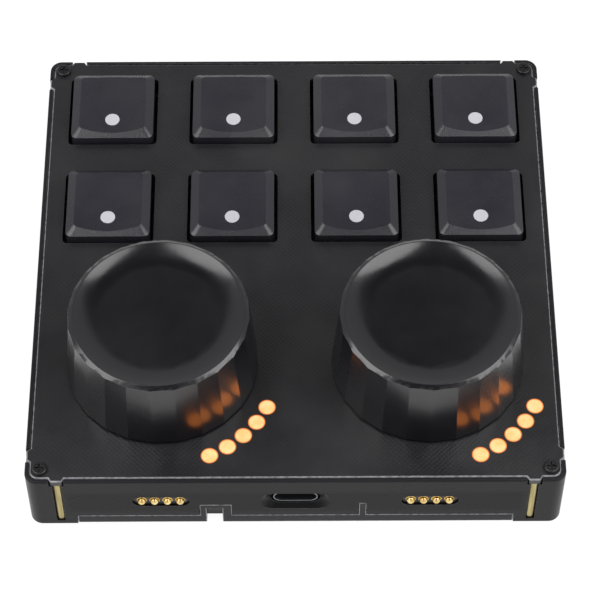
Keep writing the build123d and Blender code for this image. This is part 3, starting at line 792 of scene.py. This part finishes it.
def round_edges(
    shape: bmesh.types.BMesh, width: float, segments: int, steepest: float, slopes: bool
) -> None:
    """Bevels the outer sharp edges of a bmesh and marks the strips for the mask of edge wear and painted
    edge highlight.

    Args:
        shape: The bmesh.
        width: How far the rounding reaches from an edge.
        segments: Faces across the rounding.
        steepest: The angle past which an edge counts as sharp.
        slopes: Whether faces that already slope are marked fully and the new strips faintly.
    """
    mark = shape.faces.layers.float.new(EDGE_MARK)
    strip = FAINT_STRIP if slopes else 1.0
    low, high = SLOPE_NORMALS
    for face in shape.faces:
        if slopes and low < face.normal.z < high:
            face[mark] = 1.0
    sharp = [
        edge
        for edge in shape.edges
        if edge.is_manifold and edge.is_convex and edge.calc_face_angle(0.0) > steepest
    ]
    made = bmesh.ops.bevel(
        shape,
        geom=sharp,
        offset=width,
        offset_type="OFFSET",
        segments=segments,
        profile=0.5,
        affect="EDGES",
        clamp_overlap=True,
        material=-1,
    )
    for face in made["faces"]:
        face[mark] = max(face[mark], strip)


def middle_of(node: str) -> Vector:
    """The middle of a CAD node's box at rest."""
    low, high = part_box(node)
    return (low + high) / 2


@dataclass
class CaseShell:
    """The face plate, the housing, the base cover and what is fixed to them."""

    plate_edge: float = 0.1 * MM
    wall_edge: float = 0.24 * MM
    cover_edge: float = 0.24 * MM
    foot_edge: float = 0.4 * MM
    rod_edge: float = 0.12 * MM
    screw_edge: float = 0.06 * MM

    def build(self, shop: Workshop) -> None:
        """Makes and dresses the shell.

        Args:
            shop: The workshop.
        """
        shop.soften("top_plate", Slot.FACE, self.plate_edge, slopes=True)
        shop.soften("housing", Slot.SMOKE, self.wall_edge)
        cover = shop.soften("base_cover", Slot.SMOKE, self.cover_edge)
        cover.material_slots[0].material = shop.cover
        shop.soften("rubber_feet", Slot.RUBBER, self.foot_edge, segments=3)
        shop.soften("corner_magnets", Slot.ROD, self.rod_edge, segments=3)
        shop.soften("plate_screws", Slot.SCREW, self.screw_edge)


@dataclass
class KeyBank:
    """The eight keys: caps, windows, switches, stems and springs."""

    cap_edge: float = 0.3 * MM
    steepest: float = 15.0
    wire_radius: float = 0.14 * MM
    turns: int = 8
    steps_each_turn: int = 14
    wire_sides: int = 7
    travel: float = 3.0 * MM

    def build(self, shop: Workshop) -> None:
        """Makes and dresses every key.

        Args:
            shop: The workshop.
        """
        for number in KEY_NUMBERS:
            shop.soften(f"keycap_{number}", Slot.CAP, self.cap_edge, 3, self.steepest)
            shop.dress(f"key_window_{number}", Slot.WINDOW)
            shop.dress(f"key_stem_{number}", Slot.STEM)
            self.spring(shop, number)
        shop.dress("switch_bases", Slot.SWITCH)
        shop.dress("switch_tops", Slot.SWITCH)

    def spring(self, shop: Workshop, number: int) -> None:
        """A coil spring that stands in for the CAD spring.

        Args:
            shop: The workshop.
            number: The key's number.
        """
        node = f"key_spring_{number}"
        low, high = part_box(node)
        centre = (low + high) / 2
        coil_radius = (high.x - low.x) / 2 - self.wire_radius
        rise = high.z - low.z - 2 * self.wire_radius
        steps = self.turns * self.steps_each_turn
        shape = bmesh.new()
        start = Vector((centre.x + coil_radius, centre.y, low.z + self.wire_radius))
        turned = Matrix.Translation(start) @ Matrix.Rotation(pi / 2, 4, "X")
        ring = bmesh.ops.create_circle(
            shape, segments=self.wire_sides, radius=self.wire_radius, matrix=turned
        )
        edges = [e for e in shape.edges if all(v in ring["verts"] for v in e.verts)]
        bmesh.ops.spin(
            shape,
            geom=ring["verts"] + edges,
            cent=(centre.x, centre.y, start.z),
            axis=(0, 0, 1),
            dvec=(0, 0, rise / steps),
            angle=tau * self.turns,
            steps=steps,
            use_merge=False,
        )
        ends = [e for e in shape.edges if e.is_boundary]
        bmesh.ops.holes_fill(shape, edges=ends, sides=self.wire_sides)
        bmesh.ops.recalc_face_normals(shape, faces=shape.faces)
        coil = shop.piece(f"{node}_coil", shape, "case", Slot.SPRING, (node,))
        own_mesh(coil)


@dataclass
class Dials:
    """The two faceted knobs and the encoders under them."""

    facet_edge: float = 0.12 * MM
    nut_edge: float = 0.1 * MM
    steepest: float = 9.0

    def build(self, shop: Workshop) -> None:
        """Makes and dresses the knobs and encoders.

        Args:
            shop: The workshop.
        """
        for name in KNOB_NAMES:
            shop.soften(f"knob_{name}", Slot.KNOB, self.facet_edge, steepest=self.steepest)
            shop.dress(f"encoder_shaft_{name}", Slot.ENCODER)
            shop.dress(f"encoder_rotor_{name}", Slot.ROTOR)
        shop.dress("encoder_bodies", Slot.ENCODER)
        shop.soften("bushing_nuts", Slot.ENCODER, self.nut_edge)


@dataclass
class LightArcs:
    """Five lit lenses beside each knob, with a painted glow on the rim of their holes."""

    count: int = 5
    arc_radius: float = 23.45 * MM
    arc_shift: float = 0.7 * MM
    first_angle: float = -65.2
    step_angle: float = 9.9
    lens_radius: float = 1.58 * MM
    lens_rise: float = 0.03 * MM
    lens_depth: float = 0.3 * MM
    lens_steps: tuple[float, ...] = (0.08, 0.3, 0.3)
    bright_share: float = 0.93
    # The ring of painted glow round each lens.
    glow_ring_width: float = 0.16 * MM
    glow_ring_rise: float = 0.012 * MM
    sides: int = 40

    def build(self, shop: Workshop) -> None:
        """Makes the lenses and the painted glow rings and dresses the guides.

        Args:
            shop: The workshop.
        """
        shop.dress("light_guides", Slot.LIGHT)
        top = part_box("top_plate")[1].z
        for name in KNOB_NAMES:
            middle = middle_of(f"knob_{name}")
            places = [self.place(middle, number, top) for number in range(self.count)]
            shop.piece(f"light_lenses_{name}", self.lenses(places), "case", Slot.LIGHT)
            # The rings glow with painted light; they are not lamps.
            shop.piece(f"light_glow_rings_{name}", self.painted_glow_rings(places), "case", Slot.LIGHT)

    def place(self, middle: Vector, number: int, top: float) -> Vector:
        """Where one lens stands on the plate.

        Args:
            middle: The middle of the knob beside it.
            number: The lens's number along the arc.
            top: The height of the plate's face.

        Returns:
            The middle of the lens's top.
        """
        angle = radians(self.first_angle + number * self.step_angle)
        arm = Matrix.Rotation(angle, 3, "Z") @ Vector((self.arc_radius, 0, 0))
        return Vector((middle.x + arm.x, middle.y - self.arc_shift + arm.y, top))

    def lenses(self, places: list[Vector]) -> bmesh.types.BMesh:
        """The slightly domed tops of the light pins.

        Args:
            places: The middles of their tops.

        Returns:
            The bmesh, with the glow attribute set.
        """
        shape = bmesh.new()
        for place in places:
            self.lens(shape, place)
        mark = shape.verts.layers.float.new(GLOW_MARK)
        for vertex in shape.verts:
            reach = min((vertex.co.xy - place.xy).length for place in places) / self.lens_radius
            vertex[mark] = 1.0 if reach < self.bright_share else 0.0
        return shape

    def lens(self, shape: bmesh.types.BMesh, place: Vector) -> None:
        """Adds one lens.

        Args:
            shape: The bmesh.
            place: The middle of the lens's top.
        """
        centre = place - Vector((0, 0, self.lens_depth / 2))
        made = bmesh.ops.create_cone(
            shape,
            cap_ends=True,
            segments=self.sides,
            radius1=self.lens_radius,
            radius2=self.lens_radius,
            depth=self.lens_depth,
            matrix=Matrix.Translation(centre),
        )
        faces = {face for vertex in made["verts"] for face in vertex.link_faces}
        lid = max(faces, key=lambda face: face.calc_center_median().z)
        for share in self.lens_steps:
            bmesh.ops.inset_region(
                shape,
                faces=[lid],
                thickness=self.lens_radius * share,
                depth=self.lens_rise / len(self.lens_steps),
                use_even_offset=True,
            )

    def painted_glow_rings(self, places: list[Vector]) -> bmesh.types.BMesh:
        """Thin rings round the lenses that carry a painted glow: the lenses' light painted onto the edge
        of the plate's holes.

        Args:
            places: The middles of the lenses' tops.

        Returns:
            The bmesh, with the glow attribute set.
        """
        shape = bmesh.new()
        for place in places:
            inner = bmesh.ops.create_circle(
                shape, segments=self.sides, radius=self.lens_radius, matrix=Matrix.Translation(place)
            )["verts"]
            edges = list({edge for vertex in inner for edge in vertex.link_edges})
            outer = bmesh.ops.extrude_edge_only(shape, edges=edges)["geom"]
            grown = [item for item in outer if isinstance(item, bmesh.types.BMVert)]
            scale = 1 + self.glow_ring_width / self.lens_radius
            space = Matrix.Translation(-place)
            bmesh.ops.scale(shape, vec=(scale, scale, 1), space=space, verts=grown)
        bmesh.ops.solidify(shape, geom=shape.faces[:], thickness=self.glow_ring_rise)
        bmesh.ops.recalc_face_normals(shape, faces=shape.faces)
        return shape


@dataclass
class FrontSocket:
    """The charging and data socket in the front wall."""

    sheet_edge: float = 0.1 * MM

    def build(self, shop: Workshop) -> None:
        """Makes and dresses the socket.

        Args:
            shop: The workshop.
        """
        shop.soften("socket_shell", Slot.SOCKET, self.sheet_edge)
        shop.dress("socket_tongue", Slot.TONGUE)


@dataclass
class EdgeContacts:
    """The spring contacts in every wall."""

    barrel_edge: float = 0.1 * MM
    block_edge: float = 0.1 * MM

    def build(self, shop: Workshop) -> None:
        """Makes and dresses the contacts.

        Args:
            shop: The workshop.
        """
        shop.soften("contact_blocks", Slot.BLOCK, self.block_edge)
        shop.soften("contact_barrels", Slot.GOLD, self.barrel_edge)
        for side in SIDE_NAMES:
            shop.dress(f"contact_pins_{side}", Slot.GOLD)


@dataclass
class InnerWorks:
    """The board and what is soldered to it."""

    def build(self, shop: Workshop) -> None:
        """Dresses the inner pieces.

        Args:
            shop: The workshop.
        """
        shop.dress("main_board", Slot.BOARD)
        shop.dress("board_chips", Slot.CHIP)
        shop.dress("board_lamps", Slot.LAMP)


@dataclass
class Softbox:
    """One rectangular studio lamp that points at the object."""

    name: str
    place: Point
    width: float
    height: float
    power: float

    def build(self) -> None:
        """Adds the lamp to the scene."""
        lamp = bpy.data.lights.new(self.name, "AREA")
        lamp.shape = "RECTANGLE"
        lamp.size = self.width
        lamp.size_y = self.height
        lamp.energy = self.power
        thing = bpy.data.objects.new(self.name, lamp)
        thing.location = self.place
        thing.rotation_euler = (-Vector(self.place)).to_track_quat("-Z", "Y").to_euler()
        thing.visible_camera = False
        bpy.context.scene.collection.objects.link(thing)


@dataclass
class Studio:
    """The camera, the lamps, the floor and the backdrop."""

    camera_place: Point = (0.236 * MM, -300.206 * MM, 445.016 * MM)
    camera_tilt: float = 34.19
    camera_turn: float = 0.014
    camera_roll: float = -0.266
    focal_length: float = 153.28
    shift_across: float = -0.00074
    shift_up: float = 0.00085
    floor_reach: float = 4.0
    floor_z: float = -0.05 * MM
    ambient: float = 0.25
    back_wall: float = 0.52
    ceiling: float = 0.06
    floor_seen: float = 0.85
    floor_mirrored: float = 0.75
    floor_light: float = 1.12
    paper: float = 0.86
    horizon_heights: tuple[float, float] = (0.15, 0.42)
    ceiling_heights: tuple[float, float] = (0.76, 0.83)
    far_clip: float = 20.0
    lamps: tuple[Softbox, ...] = field(
        default_factory=lambda: (
            Softbox("left_box", (-0.35, -0.07, 0.56), 0.38, 0.52, 2.3),
            Softbox("right_box", (0.35, -0.07, 0.56), 0.38, 0.52, 2.3),
            Softbox("left_front", (-0.55, -0.62, 0.4), 0.5, 0.4, 0.8),
            Softbox("right_front", (0.55, -0.62, 0.4), 0.5, 0.4, 0.8),
        )
    )

    def build(self) -> None:
        """Builds the whole set."""
        self.camera()
        self.world()
        self.floor()
        for lamp in self.lamps:
            lamp.build()
        bpy.context.scene.view_settings.view_transform = "Standard"

    def camera(self) -> None:
        """Adds the camera at the photograph's viewing angle."""
        data = bpy.data.cameras.new("photo_view")
        data.lens = self.focal_length
        data.sensor_fit = "AUTO"
        data.shift_x = self.shift_across
        data.shift_y = self.shift_up
        data.clip_end = self.far_clip
        thing = bpy.data.objects.new("photo_view", data)
        turn = Matrix.Rotation(radians(self.camera_turn), 4, "Z")
        tilt = Matrix.Rotation(radians(self.camera_tilt), 4, "X")
        roll = Matrix.Rotation(radians(self.camera_roll), 4, "Z")
        thing.matrix_world = Matrix.Translation(self.camera_place) @ turn @ tilt @ roll
        bpy.context.scene.collection.objects.link(thing)
        bpy.context.scene.camera = thing

    def world(self) -> None:
        """A white horizon under a dim ceiling for reflections, and a plain soft level for the rest."""
        world = bpy.data.worlds.new("white_room")
        world.use_nodes = True
        bpy.context.scene.world = world
        wiring = Wiring(world.node_tree)
        eye, mirror = self.rays(wiring)
        direction = wiring.add("SeparateXYZ", {"Vector": wiring.add("TexCoord").outputs["Generated"]})
        height = direction.outputs["Z"]
        horizon = wiring.spread(height, *self.horizon_heights, 1.0, self.back_wall)
        overhead = wiring.spread(height, *self.ceiling_heights, self.back_wall, self.ceiling)
        sky = wiring.maths("MINIMUM", horizon, overhead)
        plain = wiring.spread(eye, *FULL, self.ambient, 1.0)
        level = wiring.add("Mix", data_type="FLOAT")
        wiring.feed(level, 0, mirror)
        wiring.feed(level, 2, plain)
        wiring.feed(level, 3, sky)
        white = (1.0, 1.0, 1.0, 1.0)
        background = wiring.add("Background", {"Color": white, "Strength": level.outputs[0]})
        wiring.finish("OutputWorld", background.outputs["Background"])

    @staticmethod
    def rays(wiring: Wiring) -> tuple[bpy.types.NodeSocket, bpy.types.NodeSocket]:
        """Masks of the rays from the eye, and of those from a reflection or through glass.

        Args:
            wiring: The tree that the masks are made in.

        Returns:
            The eye's mask and the mirror's mask.
        """
        path = wiring.add("LightPath")
        mirrored = wiring.maths(
            "MAXIMUM", path.outputs["Is Glossy Ray"], path.outputs["Is Transmission Ray"]
        )
        return path.outputs["Is Camera Ray"], mirrored

    def floor(self) -> None:
        """A plain white floor that keeps a soft shadow."""
        shape = bmesh.new()
        bmesh.ops.create_grid(shape, x_segments=1, y_segments=1, size=self.floor_reach)
        bmesh.ops.translate(shape, verts=shape.verts, vec=(0, 0, self.floor_z))
        mesh = bpy.data.meshes.new("floor")
        shape.to_mesh(mesh)
        shape.free()
        thing = bpy.data.objects.new("floor", mesh)
        bpy.context.scene.collection.objects.link(thing)
        material, wiring = blank_material("white_paper")
        paper = wiring.add("BsdfDiffuse", {"Color": (self.paper, self.paper, self.paper, 1.0)})
        bright = wiring.add("Emission", {"Color": (1.0, 1.0, 1.0, 1.0), "Strength": self.floor_light})
        eye, mirror = self.rays(wiring)
        seen = wiring.maths("MULTIPLY", eye, self.floor_seen)
        mirrored = wiring.maths("MULTIPLY", mirror, self.floor_mirrored)
        share = wiring.maths("MAXIMUM", seen, mirrored)
        mix = wiring.add("MixShader")
        wiring.feed(mix, 0, share)
        wiring.feed(mix, 1, paper.outputs["BSDF"])
        wiring.feed(mix, 2, bright.outputs["Emission"])
        wiring.finish("OutputMaterial", mix.outputs["Shader"])
        mesh.materials.append(material)


def main() -> None:
    """Builds the set and every piece in order."""
    logging.basicConfig(level=logging.INFO, format="%(name)s: %(message)s")
    Studio().build()
    shop = Workshop()
    makers = (CaseShell, KeyBank, Dials, LightArcs, FrontSocket, EdgeContacts, InnerWorks)
    for assembly in (maker() for maker in makers):
        assembly.build(shop)
        LOG.info("%s done", type(assembly).__name__)


if __name__ == "__main__":
    main()
